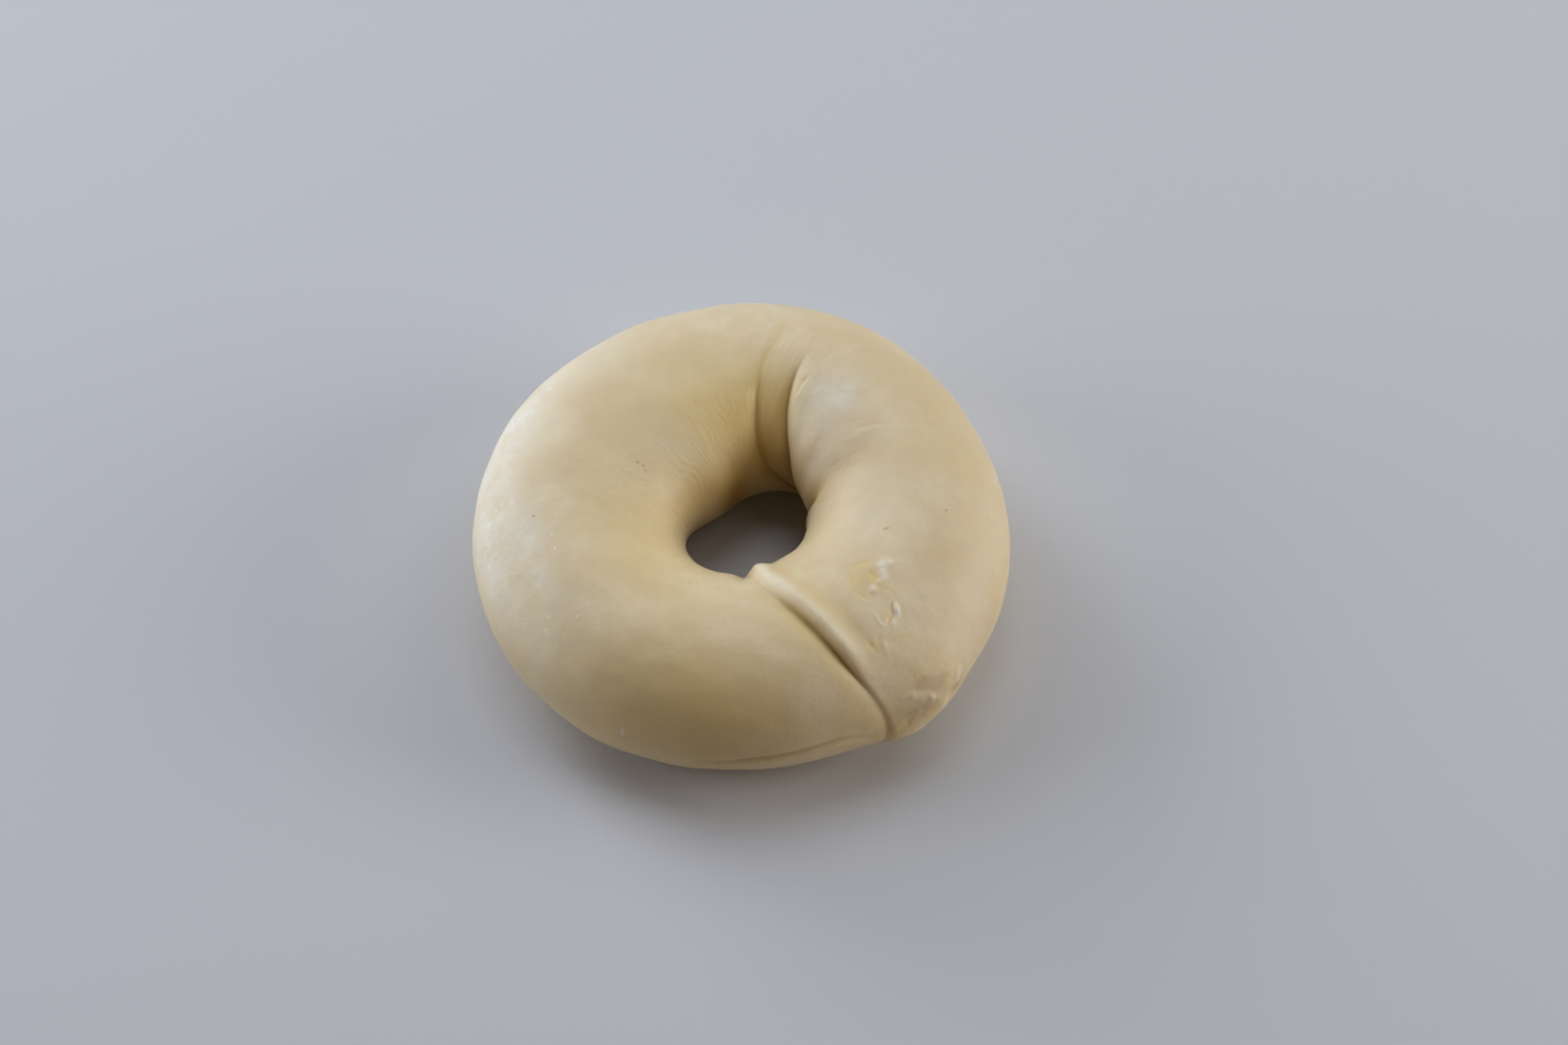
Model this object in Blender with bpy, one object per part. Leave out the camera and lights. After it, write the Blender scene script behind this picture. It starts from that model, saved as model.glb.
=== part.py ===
"""An unbaked bagel: a roll of raw dough wrapped into a ring, with one end lapped over the other.

The ring lies on z = 0 round the z axis, in metres. A place on it is an azimuth, in degrees from +X
towards +Y, and a turn, in degrees round the roll from its outer side over the crown to the hole.
"""

import bpy
import numpy as np

# The roll, as it would be with no folds
MIDDLE_RADIUS = 0.02728
ROLL_HALF_WIDTH = 0.01703
WIDEST_HEIGHT = 0.0130
CROWN_RISE = 0.0146
BELLY_DROP = 0.0155
FOOT_ROUNDING = 0.0012

# Hand-made unevenness: {waves round the ring: (size, azimuth where it is largest)}
RADIUS_WAVES = {2: (0.00099, 36.8), 3: (0.00043, -49.4), 4: (0.00031, -27.7)}
WIDTH_WAVES = {1: (0.00094, 166.9), 2: (0.00099, -39.2), 3: (0.00040, -14.9)}

# The lap: seen from above, a nearly straight line across the ring, from the hole to the outer foot.
# Run is the distance along it, and share is 0 to 1 from the hole to the foot.
LAP_FACING = 44.0
LAP_OFFSET = 0.0090
LAP_BOW = 0.0021
LAP_MIDDLE, LAP_HALF = 0.0270, 0.0165
LAP_APPEARS = (0.0015, 0.0070)
LAP_LIP_WIDTH = 0.0025
LAP_LIP_FALL = 0.0019
LAP_LIP_HEIGHT = 0.0012
LAP_LIP_LEAN = 0.0005
LAP_LIP_DIES_OUT = (0.70, 0.95)
LAP_LIP_WIDENS = (0.0, 0.30)
LAP_LIP_RISES = (-0.05, 0.15)
LAP_WIDTH_AT_HOLE, LAP_HEIGHT_AT_HOLE = 0.55, 0.35
LAP_CREASE_DEPTH = 0.0010
LAP_CREASE_WIDTH = 0.0013
LAP_STEP = 0.0005
LAP_STEP_REACH = 0.0110

# The swelling at the lapped end's corner, and the notch past it
END_AZIMUTH, END_TURN = -46.3, 0.0
END_SWELL = 0.0019
END_SPREAD = 0.0071
NOTCH_AZIMUTH, NOTCH_TURN = -41.5, 2.0
NOTCH_DEPTH = 0.0007
NOTCH_SPREAD = 0.0017

# The folds in the hole's wall die out between these turns, on its underside
FOLDS_DIE_OUT = (232.0, 195.0)

# The two creases at the back of the hole bow round the roll: (topmost azimuth, turn there, bend)
INNER_CREASE = (85.0, 117.0, 16.7)
INNER_CREASE_APPEARS = (45.0, 100.0)
INNER_CREASE_DEEPENS = (95.0, 135.0)
INNER_CREASE_AT_CROWN = 0.15
INNER_CREASE_DEPTH = 0.0010
INNER_CREASE_WIDTH = 0.0011
TUCK = (70.3, 110.0, 15.8)
TUCK_APPEARS = (88.0, 112.0)
TUCK_DEPTH = 0.0014
TUCK_WIDTH = 0.0010
TUCK_LIP_WIDTH = 0.0024
TUCK_LIP_FALL = 0.0040
TUCK_LIP_HEIGHT = 0.0007
TUCK_LEAN = 0.0009
BAND_SINK = 0.0005
BAND_WIDTH = 0.0030

# Lumps and hollows: (azimuth, turn, height, spread along the ring, spread round the roll)
LUMPS = (
    (44.0, 138.0, 0.0011, 15.0, 38.0),
    (17.0, 188.0, 0.0009, 9.0, 28.0),
    (-91.0, 146.0, -0.0009, 7.0, 22.0),
)

# The fold between the first two lumps
FOLD_AZIMUTH, FOLD_TURN, FOLD_SLANT = 15.0, 100.0, 0.155
FOLD_APPEARS, FOLD_DIES_OUT = (80.0, 165.0), (220.0, 180.0)
FOLD_DEPTH = 0.0011
FOLD_WIDTH = 0.0014

# The pinched seam just above the foot, in front
FOOT_SEAM_AZIMUTH, FOOT_SEAM_HALF = -84.0, 19.0
FOOT_SEAM_TURN = -1.0
FOOT_SEAM_TILT = 0.36
FOOT_SEAM_DEPTH = 0.0003
FOOT_SEAM_WIDTH = 0.0008
FOOT_LEDGE_BELOW, FOOT_LEDGE_WIDTH = 0.0018, 0.0013

# No fold reaches the flat foot: they come in over this height
FOLDS_CLEAR_OF_FOOT = (0.0, 0.0035)

# The mesh: azimuths gather near the folds, as (azimuth, spread, gain)
ALONG_COUNT, ROUND_COUNT = 112, 46
GATHERS = ((-68.0, 7.0, 3.0), (76.0, 14.0, 1.6), (20.0, 10.0, 0.6))
FOLLOW_TURNS, FOLLOW_FADES_IN, FOLLOW_FADES_OUT = (60.0, 205.0), (0.0, 60.0), (330.0, 205.0)
FOLLOW_LEAST_RADIUS = 0.0112
STEP = 1e-4


def smooth(low, high, value):
    """0 below low, 1 above high, with an S between them."""
    t = np.clip((value - low) / (high - low), 0.0, 1.0)
    return t * t * (3.0 - 2.0 * t)


def bell(distance, spread):
    """1 at no distance, falling away as a bell curve."""
    return np.exp(-((distance / spread) ** 2))


def waves(azimuth, table):
    """The sum of size * cos(count * (azimuth - peak)) over the table's waves."""
    return sum(size * np.cos(count * np.radians(azimuth - peak)) for count, (size, peak) in table.items())


def plain_roll(azimuth, turn):
    """An ellipse of the roll's width and height, carried round the ring and pressed flat at z = 0."""
    about = np.radians(turn)
    radius = MIDDLE_RADIUS + waves(azimuth, RADIUS_WAVES)
    radius = radius + (ROLL_HALF_WIDTH + waves(azimuth, WIDTH_WAVES)) * np.cos(about)
    rise = np.where(np.sin(about) > 0, CROWN_RISE, BELLY_DROP)
    height = WIDEST_HEIGHT + rise * np.sin(about)
    blend = (height + FOOT_ROUNDING) ** 2 / (4 * FOOT_ROUNDING)
    height = np.where(height > FOOT_ROUNDING, height, np.where(height < -FOOT_ROUNDING, 0.0, blend))
    angle = np.radians(azimuth)
    return np.stack([radius * np.cos(angle), radius * np.sin(angle), height], axis=-1)


def unit(vectors):
    return vectors / np.linalg.norm(vectors, axis=-1, keepdims=True)


def roll_frame(azimuth, turn):
    """The plain roll's points, outward normals and directions along the ring, by small steps each way."""
    along = plain_roll(azimuth + STEP, turn) - plain_roll(azimuth - STEP, turn)
    around = plain_roll(azimuth, turn + STEP) - plain_roll(azimuth, turn - STEP)
    return plain_roll(azimuth, turn), unit(np.cross(along, around)), unit(along)


def lap_offset(run):
    """How far the lap line lies behind the ring's middle: a fourth-power bow, flat along most of it."""
    return LAP_OFFSET + LAP_BOW * (1.0 - np.clip(np.abs(run - LAP_MIDDLE) / LAP_HALF, 0.0, 1.1) ** 4)


def lip_profile(across, lip_width, lip_fall, lip_height, depth, width):
    """Height across a fold: a dip, then a quarter ellipse up to the lip's crest, then a bell curve down."""
    dip = -depth * np.exp(-np.abs(across) / width - (across / (2 * width)) ** 2)
    share = np.clip(across / lip_width, 0.0, 1.0)
    face = (depth + lip_height) * np.sqrt(1.0 - (1.0 - share) ** 2) - depth
    fall = lip_height * bell(np.maximum(across - lip_width, 0.0), lip_fall)
    return np.where(across < 0, dip, np.where(share < 1, face, fall))


def lip_lean(across, lip_width):
    """How far the lip's face swells out over the crease, 0 at the crease and at the crest."""
    return np.sin(np.pi * np.clip(across / lip_width, 0.0, 1.0))


def lap(points, normals):
    """The lapped end's lip and crease, by distance from the lap line seen from above."""
    facing = np.radians(LAP_FACING)
    towards = np.array([np.cos(facing), np.sin(facing), 0.0])
    onward = np.array([np.sin(facing), -np.cos(facing), 0.0])
    run = points @ onward
    share = 0.5 + (run - LAP_MIDDLE) / (2 * LAP_HALF)
    across = points @ towards + lap_offset(run)
    there = smooth(*LAP_APPEARS, run)
    ending = smooth(*LAP_LIP_DIES_OUT, share)
    widening = LAP_WIDTH_AT_HOLE + (1.0 - LAP_WIDTH_AT_HOLE) * smooth(*LAP_LIP_WIDENS, share)
    rising = LAP_HEIGHT_AT_HOLE + (1.0 - LAP_HEIGHT_AT_HOLE) * smooth(*LAP_LIP_RISES, share)
    lip_width = LAP_LIP_WIDTH * widening
    lip_height = LAP_LIP_HEIGHT * rising * (1.0 - ending)
    depth = LAP_CREASE_DEPTH * widening
    lift = lip_profile(across, lip_width, LAP_LIP_FALL, lip_height, depth, LAP_CREASE_WIDTH)
    step = LAP_STEP * (1.0 - ending) * smooth(0.0, LAP_LIP_WIDTH, across) * bell(across, LAP_STEP_REACH)
    lean_way = unit(towards - (normals @ towards)[..., None] * normals)
    lean = -LAP_LIP_LEAN * (1.0 - ending) * lip_lean(across, lip_width)
    return (there * (lift + step))[..., None] * normals + (there * lean)[..., None] * lean_way


def bowed(turn, line):
    """The azimuth of a crease that bows round the roll, at each turn."""
    top, at_turn, bend = line
    return top - ((turn - at_turn) / bend) ** 2


def back_folds(azimuth, turn, points, normals, along):
    """The crease and the tucked fold that run over the crown and down the hole's back wall."""
    reach = np.radians(1.0) * np.linalg.norm(points[..., :2], axis=-1)
    across = (azimuth - bowed(turn, INNER_CREASE)) * reach
    there = smooth(*INNER_CREASE_APPEARS, turn) * smooth(*FOLDS_DIE_OUT, turn)
    deep = INNER_CREASE_AT_CROWN + (1.0 - INNER_CREASE_AT_CROWN) * smooth(*INNER_CREASE_DEEPENS, turn)
    lift = -INNER_CREASE_DEPTH * deep * there * np.exp(-np.abs(across) / INNER_CREASE_WIDTH)
    across = (bowed(turn, TUCK) - azimuth) * reach
    there = smooth(*TUCK_APPEARS, turn) * smooth(*FOLDS_DIE_OUT, turn)
    tuck = lip_profile(across, TUCK_LIP_WIDTH, TUCK_LIP_FALL, TUCK_LIP_HEIGHT, TUCK_DEPTH, TUCK_WIDTH)
    lift = lift + there * (tuck - BAND_SINK * bell(across + BAND_WIDTH, BAND_WIDTH))
    lean = there * TUCK_LEAN * lip_lean(across, TUCK_LIP_WIDTH)
    return lift[..., None] * normals + lean[..., None] * along


def lumps(azimuth, turn, points):
    """The lumps, the fold at the hole's right, the lapped end's corner and notch, and the foot seam."""
    lift = 0.0
    for where, at_turn, height, along, around in LUMPS:
        lift = lift + height * bell(azimuth - where, along) * bell(turn - at_turn, around)
    reach = np.radians(1.0) * np.linalg.norm(points[..., :2], axis=-1)
    fold = FOLD_AZIMUTH + FOLD_SLANT * (turn - FOLD_TURN)
    deep = smooth(*FOLD_APPEARS, turn) * smooth(*FOLD_DIES_OUT, turn)
    lift = lift - FOLD_DEPTH * deep * bell((azimuth - fold) * reach, FOLD_WIDTH)
    signed_turn = (turn + 180.0) % 360.0 - 180.0
    roll = np.radians(1.0) * ROLL_HALF_WIDTH
    end = np.hypot((azimuth - END_AZIMUTH) * reach, (signed_turn - END_TURN) * roll)
    notch = np.hypot((azimuth - NOTCH_AZIMUTH) * reach, (signed_turn - NOTCH_TURN) * roll)
    lift = lift + END_SWELL * bell(end, END_SPREAD) - NOTCH_DEPTH * bell(notch, NOTCH_SPREAD)
    from_middle = azimuth - FOOT_SEAM_AZIMUTH
    seam = (signed_turn - FOOT_SEAM_TURN - FOOT_SEAM_TILT * from_middle) * roll
    there = smooth(FOOT_SEAM_HALF, 0.5 * FOOT_SEAM_HALF, np.abs(from_middle))
    groove = -FOOT_SEAM_DEPTH * bell(seam, FOOT_SEAM_WIDTH)
    ledge = FOOT_SEAM_DEPTH * bell(seam + FOOT_LEDGE_BELOW, FOOT_LEDGE_WIDTH)
    return lift + there * (groove + ledge)


def dough(azimuth, turn):
    """The whole surface: the plain roll, moved along its normals by the folds and lumps."""
    points, normals, along = roll_frame(azimuth, turn)
    moved = lap(points, normals) + back_folds(azimuth, turn, points, normals, along)
    moved = moved + lumps(azimuth, turn, points)[..., None] * normals
    clear_of_foot = smooth(*FOLDS_CLEAR_OF_FOOT, points[..., 2])[..., None]
    return points + clear_of_foot * moved


def gathered(count):
    """Azimuths round the ring, closer together near the folds: equal shares of a density."""
    fine = np.linspace(-180.0, 180.0, 7201)
    density = 1.0 + sum(gain * bell(fine - where, spread) for where, spread, gain in GATHERS)
    share = np.concatenate([[0.0], np.cumsum(density[1:] + density[:-1])])
    return np.interp(np.arange(count) / count, share / share[-1], fine)


def lap_azimuth(radius):
    """The azimuth where the lap line crosses a circle of this radius."""
    run = np.sqrt(radius**2 - LAP_OFFSET**2)
    return LAP_FACING - np.degrees(np.arccos(-lap_offset(run) / radius))


def nearness(azimuth, middle, before, after):
    """1 at the middle azimuth, falling as a squared cosine to 0 that far before and after it."""
    gap = azimuth - middle
    return np.cos(np.pi / 2 * np.clip(np.where(gap < 0, gap / before, gap / after), -1, 1)) ** 2


def follow_folds(azimuth, turn):
    """Shears the mesh's lines so that they run along the lap and along the tuck."""
    lap_middle, tuck_middle = lap_azimuth(MIDDLE_RADIUS), TUCK[0]
    radius = np.maximum(MIDDLE_RADIUS + ROLL_HALF_WIDTH * np.cos(np.radians(turn)), FOLLOW_LEAST_RADIUS)
    lap_swing = lap_azimuth(radius) - lap_middle
    tuck_swing = bowed(np.clip(turn, *FOLLOW_TURNS), TUCK) - tuck_middle
    tuck_swing = tuck_swing * smooth(*FOLLOW_FADES_IN, turn) * smooth(*FOLLOW_FADES_OUT, turn)
    between = tuck_middle - lap_middle
    near_lap = nearness(azimuth, lap_middle, 180.0 + lap_middle, between)
    near_tuck = nearness(azimuth, tuck_middle, between, 180.0 - tuck_middle)
    return azimuth + near_lap * lap_swing + near_tuck * tuck_swing


def dough_material():
    """Raw wheat dough: pale cream, soft and barely shiny."""
    material = bpy.data.materials.new("raw_dough")
    material.use_nodes = True
    shader = material.node_tree.nodes["Principled BSDF"]
    shader.inputs["Base Color"].default_value = (0.72, 0.61, 0.42, 1.0)
    shader.inputs["Roughness"].default_value = 0.55
    shader.inputs["Metallic"].default_value = 0.0
    return material


def make_ring(collection):
    """A torus whose vertices are carried to the dough's surface, then centred over the origin."""
    bpy.ops.mesh.primitive_torus_add(
        major_segments=ALONG_COUNT,
        minor_segments=ROUND_COUNT,
        major_radius=MIDDLE_RADIUS,
        minor_radius=ROLL_HALF_WIDTH,
    )
    ring = bpy.context.active_object
    ring.name = "dough_ring"
    ring.data.name = "dough_ring"
    azimuth = np.repeat(gathered(ALONG_COUNT), ROUND_COUNT)
    turn = np.tile(np.arange(ROUND_COUNT) * 360.0 / ROUND_COUNT, ALONG_COUNT)
    points = dough(follow_folds(azimuth, turn), turn)
    points[:, :2] -= (points[:, :2].max(axis=0) + points[:, :2].min(axis=0)) / 2
    ring.data.vertices.foreach_set("co", points.astype(np.float32).ravel())
    ring.data.update()
    ring.data.shade_smooth()
    ring.data.materials.append(dough_material())
    for other in list(ring.users_collection):
        other.objects.unlink(ring)
    collection.objects.link(ring)
    return ring


def main():
    for old in list(bpy.data.objects):
        bpy.data.objects.remove(old, do_unlink=True)
    bagel = bpy.data.collections.new("unbaked_bagel")
    bpy.context.scene.collection.children.link(bagel)
    make_ring(bagel)


main()
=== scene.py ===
"""The looks of an unbaked bagel: raw dough rolled into a ring and lapped over itself.

A place on the ring is an azimuth, in degrees from +X towards +Y, and a turn, in degrees round the roll
from its outer side (0) over the crown (90) to the hole's wall (180). Lengths are in metres.
"""

import bpy
import numpy as np
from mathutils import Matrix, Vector


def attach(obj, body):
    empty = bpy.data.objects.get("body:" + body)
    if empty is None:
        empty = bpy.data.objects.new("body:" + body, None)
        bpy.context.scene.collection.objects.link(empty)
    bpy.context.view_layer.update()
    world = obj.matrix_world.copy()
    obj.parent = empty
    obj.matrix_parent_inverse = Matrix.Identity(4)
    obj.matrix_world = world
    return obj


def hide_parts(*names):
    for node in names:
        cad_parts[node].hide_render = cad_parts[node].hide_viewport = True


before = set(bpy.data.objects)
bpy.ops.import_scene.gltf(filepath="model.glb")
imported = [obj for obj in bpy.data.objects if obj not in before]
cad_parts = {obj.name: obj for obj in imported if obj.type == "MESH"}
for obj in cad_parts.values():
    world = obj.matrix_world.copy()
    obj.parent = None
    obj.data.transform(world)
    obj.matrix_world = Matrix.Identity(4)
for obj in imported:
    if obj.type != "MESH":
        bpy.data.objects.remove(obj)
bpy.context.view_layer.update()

# The roll, as it would be with no folds
MIDDLE_RADIUS = 0.02728
ROLL_HALF_WIDTH = 0.01703
WIDEST_HEIGHT = 0.0130
CROWN_RISE = 0.0146
BELLY_DROP = 0.0155
FOOT_ROUNDING = 0.0012

# Hand-made unevenness: {waves round the ring: (size, azimuth where it is largest)}
RADIUS_WAVES = {2: (0.00099, 36.8), 3: (0.00043, -49.4), 4: (0.00031, -27.7)}
WIDTH_WAVES = {1: (0.00094, 166.9), 2: (0.00099, -39.2), 3: (0.00040, -14.9)}

# The lap: seen from above, a nearly straight line across the ring, from the hole to the outer foot.
# Run is the distance along it, and share is 0 to 1 from the hole to the foot.
LAP_FACING = 44.0
LAP_TOWARDS = np.array([np.cos(np.radians(LAP_FACING)), np.sin(np.radians(LAP_FACING)), 0.0])
LAP_ONWARD = np.array([np.sin(np.radians(LAP_FACING)), -np.cos(np.radians(LAP_FACING)), 0.0])
LAP_OFFSET = 0.0090
LAP_BOW = 0.0021
LAP_MIDDLE, LAP_HALF = 0.0270, 0.0165
LAP_APPEARS = (0.0015, 0.0070)
LAP_FOOT_SHIFT, LAP_SHIFTS = 0.0001, (0.78, 0.92)
LAP_LIP_WIDTH = 0.0020
LAP_LIP_NARROWS, LAP_WIDTH_AT_FOOT = (0.05, 0.85), 0.55
LAP_LIP_HEIGHT = 0.00068
LAP_LIP_RISES, LAP_HEIGHT_AT_HOLE = (-0.05, 0.35), 0.70
LAP_LIP_LEAN = 0.0001
LAP_LIP_DIES_OUT = (0.62, 0.88)
LAP_LIP_FALL = 0.0018
LAP_LIP_ROUNDNESS = 0.70
LAP_VALLEY_DEPTH, LAP_VALLEY_WIDTH, LAP_VALLEY_PLACE = 0.00022, 0.0016, 0.0046
LAP_CREASE_DEPTH = 0.0009
LAP_CREASE_WIDTH = 0.0013
LAP_DEEPENS, LAP_DEPTH_AT_HOLE = (0.08, 0.45), 0.25
LAP_SHALLOWS, LAP_DEPTH_AT_FOOT = (0.70, 0.96), 0.32
LAP_STEP = 0.0005
LAP_STEP_REACH = 0.0110

# The swelling at the lapped end's corner, and the notch past it
END_AZIMUTH, END_TURN = -46.3, 0.0
END_SWELL = 0.0019
END_SPREAD = 0.0071
NOTCH_AZIMUTH, NOTCH_TURN = -42.4, -0.5
NOTCH_DEPTH = 0.0011
NOTCH_SPREAD = 0.0016

# The folds in the hole's wall die out between these turns, low down on its underside
FOLDS_DIE_OUT = (232.0, 195.0)

# The two creases at the back of the hole bow round the roll: (topmost azimuth, turn there, bend)
INNER_CREASE = (85.0, 117.0, 16.7)
INNER_CREASE_APPEARS = (45.0, 100.0)
INNER_CREASE_DEEPENS = (95.0, 135.0)
INNER_CREASE_AT_CROWN = 0.15
INNER_CREASE_DEPTH = 0.0010
INNER_CREASE_WIDTH = 0.0011
TUCK = (70.3, 110.0, 15.8)
TUCK_APPEARS = (82.0, 132.0)
TUCK_DEPTH = 0.0014
TUCK_WIDTH = 0.0010
TUCK_LIP_WIDTH = 0.0034
TUCK_LIP_FALL = 0.0065
TUCK_LIP_HEIGHT = 0.0008
TUCK_LIP_ROUNDNESS = 0.6
TUCK_LEAN = 0.0005
BAND_SINK = 0.0005
BAND_WIDTH = 0.0030

# Lumps and hollows: (azimuth, turn, height, spread along the ring, spread round the roll)
LUMPS = (
    (44.0, 150.0, 0.0017, 16.0, 36.0),
    (138.0, 150.0, 0.0006, 28.0, 26.0),
    (29.0, 136.0, 0.0005, 8.0, 24.0),
    (17.0, 188.0, 0.0006, 9.0, 28.0),
    (-91.0, 146.0, -0.0009, 7.0, 22.0),
    (-54.5, 345.0, 0.0013, 6.5, 13.0),
)

# The fold at the hole's right, beside the lumps at azimuths 17 to 44
FOLD_AZIMUTH, FOLD_TURN, FOLD_SLANT = 15.0, 100.0, 0.08
FOLD_APPEARS, FOLD_DIES_OUT = (140.0, 178.0), (220.0, 180.0)
FOLD_DEPTH = 0.0014
FOLD_WIDTH = 0.0011

# The pinched seam just above the foot, in front: it rises to the right, then dips into the lap's crease
FOOT_SEAM_AZIMUTH, FOOT_SEAM_TURN = -84.0, -1.0
FOOT_SEAM_RISE, FOOT_SEAM_DIP, FOOT_SEAM_DIPS_FROM = 0.36, 0.12, 12.0
FOOT_SEAM_BEGINS, FOOT_SEAM_ENDS = (-104.0, -90.0), (-60.0, -71.0)
FOOT_SEAM_DEPTH = 0.00032
FOOT_SEAM_WIDTH = 0.0006
# The ledge under the seam, with its height as a share of the seam's depth
FOOT_LEDGE_BELOW, FOOT_LEDGE_WIDTH, FOOT_LEDGE_SHARE = 0.0018, 0.0013, 0.6

# Fine marks pressed into the skin, in millimetres: three (azimuth, turn) places along each, its depth
# and width, a raised edge's height and its distance to the left (+) of its way, then how damp the
# groove is, its ochre partly painted shade, and how pale the edge is, partly a painted highlight
SCUFFS = (
    (((-42.9, 72.2), (-45.8, 66.9), (-49.7, 61.2)), 0.39, 0.33, 0.34, 0.62, 1.00, 1.00),
    (((-40.6, 76.5), (-41.4, 73.0), (-42.6, 70.0)), 0.11, 0.25, 0.00, 1.00, 1.00, 0.00),
    (((-43.0, 82.0), (-41.6, 78.0), (-40.7, 75.0)), 0.06, 0.28, 0.00, 1.00, 0.59, 0.00),
    (((-49.0, 74.0), (-50.3, 68.0), (-49.2, 62.5)), 0.00, 0.25, 0.17, 0.00, 0.00, 0.90),
    (((-40.2, 86.0), (-43.2, 84.2), (-47.4, 81.6)), 0.00, 0.42, 0.30, 0.00, 0.00, 1.00),
    (((-31.4, 86.8), (-34.5, 89.0), (-38.5, 91.0)), 0.00, 0.52, 0.26, 0.00, 0.00, 1.00),
    (((-37.0, 89.6), (-38.3, 85.8), (-41.2, 81.4)), 0.00, 0.43, 0.24, 0.00, 0.00, 0.95),
    (((-39.3, 94.2), (-41.3, 89.5), (-42.6, 83.8)), 0.22, 0.43, 0.00, 1.00, 0.78, 0.00),
    (((-43.8, 99.8), (-48.0, 92.5), (-49.8, 84.0)), 0.20, 0.48, 0.00, 1.00, 0.65, 0.00),
    (((-49.6, 88.5), (-49.4, 84.0), (-48.3, 79.0)), 0.11, 0.38, 0.00, 1.00, 0.59, 0.00),
    (((-45.2, 98.4), (-39.8, 99.8), (-34.3, 91.6)), 0.16, 0.48, 0.00, 1.00, 0.65, 0.00),
    (((-57.0, 61.5), (-55.0, 55.0), (-53.9, 48.0)), 0.11, 0.38, 0.00, 1.00, 0.78, 0.00),
    (((-51.7, 63.0), (-53.4, 57.5), (-54.4, 52.8)), 0.08, 0.38, 0.00, 1.00, 0.65, 0.00),
    (((-51.5, 57.6), (-52.5, 52.0), (-53.0, 46.0)), 0.00, 0.32, 0.08, 0.00, 0.00, 0.45),
    (((-52.6, 54.8), (-48.6, 53.4), (-43.6, 49.0)), 0.04, 0.75, 0.00, 1.00, 0.52, 0.00),
)
CREASES = (
    (((31.3, 125.5), (31.5, 112.0), (24.3, 88.0)), 0.08, 0.30, 0.04, -0.90, 0.35, 0.10),
    (((64.0, 99.0), (61.5, 84.0), (54.5, 48.0)), 0.08, 0.45, 0.05, -1.10, 0.12, 0.10),
    (((60.5, 117.0), (60.0, 112.0), (57.8, 108.0)), 0.06, 0.25, 0.00, 1.00, 0.15, 0.00),
    (((43.6, 131.5), (41.0, 138.0), (37.5, 144.5)), 0.06, 0.25, 0.00, 1.00, 0.18, 0.00),
    (((64.4, 102.0), (65.4, 112.5), (65.6, 123.5)), 0.14, 0.30, 0.00, 1.00, 0.45, 0.00),
    (((76.5, 54.0), (80.5, 77.0), (82.3, 104.0)), 0.22, 1.05, 0.12, -1.70, 0.15, 0.15),
    (((79.0, 92.0), (79.8, 122.0), (74.5, 155.0)), 0.06, 0.30, 0.03, -0.60, 0.15, 0.00),
    (((75.0, 96.0), (75.5, 122.0), (71.5, 148.0)), 0.05, 0.30, 0.00, 1.00, 0.15, 0.00),
)
FLAP_MARKS = (
    (((-38.4, 16.0), (-41.0, 7.5), (-43.0, -1.0)), 0.00, 0.50, 0.22, 0.00, 0.00, 0.45),
    (((-56.0, 20.5), (-50.2, 15.8), (-44.0, -1.0)), 0.00, 0.50, 0.24, 0.00, 0.00, 0.60),
    (((-51.8, 7.5), (-49.2, 2.5), (-46.0, -3.5)), 0.16, 0.80, 0.00, 1.00, 0.35, 0.00),
    (((-57.4, -7.0), (-53.6, 0.0), (-49.8, -1.0)), 0.16, 0.40, 0.08, 0.95, 0.70, 0.10),
)
# Each mark's line wanders and its strength comes and goes: count, shortest and longest wavelength, size
MARK_WANDER = (16, 0.0014, 0.0050, 0.00010)
MARK_STRENGTH = (12, 0.0014, 0.0045, 0.28)
MARK_USUAL_STRENGTH, MARK_STRENGTH_LIMITS = 0.8, (0.2, 1.1)
# It tapers over this share of its length at each end, down to this share of its width
MARK_TAPERS, MARK_WIDTH_AT_END = 0.30, 0.5
# The raised edge and the groove's damp tint, which is partly painted shade, are wider than the groove
# by these factors
MARK_EDGE_SPREAD, MARK_DAMP_AND_SHADE_SPREAD = 1.4, 1.3
MARK_REACH = 0.004
MARK_STEPS = 14

# Specks on the skin, in millimetres: (azimuth, turn, half length, half width, way of its length in
# degrees, strength), brown ones of bran and pale ones of flour
BRAN_SPECKS = (
    (163.1, 118.0, 0.34, 0.26, 20.0, 0.40),
    (163.4, 121.5, 0.42, 0.13, -58.0, 0.42),
    (165.4, 124.0, 0.42, 0.13, -42.0, 0.42),
    (-171.0, 66.8, 0.30, 0.20, -30.0, 0.45),
    (-20.5, 99.5, 0.62, 0.22, 18.0, 0.40),
    (-8.0, 69.8, 0.24, 0.22, 0.0, 0.50),
)
FLOUR_CRUMBS = (
    (-163.5, 74.8, 0.26, 0.20, 0.0, 0.60),
    (-158.8, 73.8, 0.32, 0.18, 60.0, 0.75),
    (-143.5, 50.2, 0.42, 0.28, -60.0, 0.35),
    (-138.0, 62.2, 0.46, 0.30, 40.0, 0.35),
    (-141.5, 43.0, 0.70, 0.30, -70.0, 0.30),
    (-138.5, 72.0, 0.34, 0.24, -20.0, 0.30),
    (-116.5, 9.8, 0.60, 0.35, -60.0, 0.30),
)
SPECK_HALF_DEPTH, SPECK_EDGE = 0.0015, (1.15, 0.55)

# The skin's slight unevenness: (count of ripples, shortest and longest wavelength, height)
SKIN_RIPPLES = ((26, 0.010, 0.020, 0.00006), (40, 0.0035, 0.0075, 0.00002))
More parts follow.
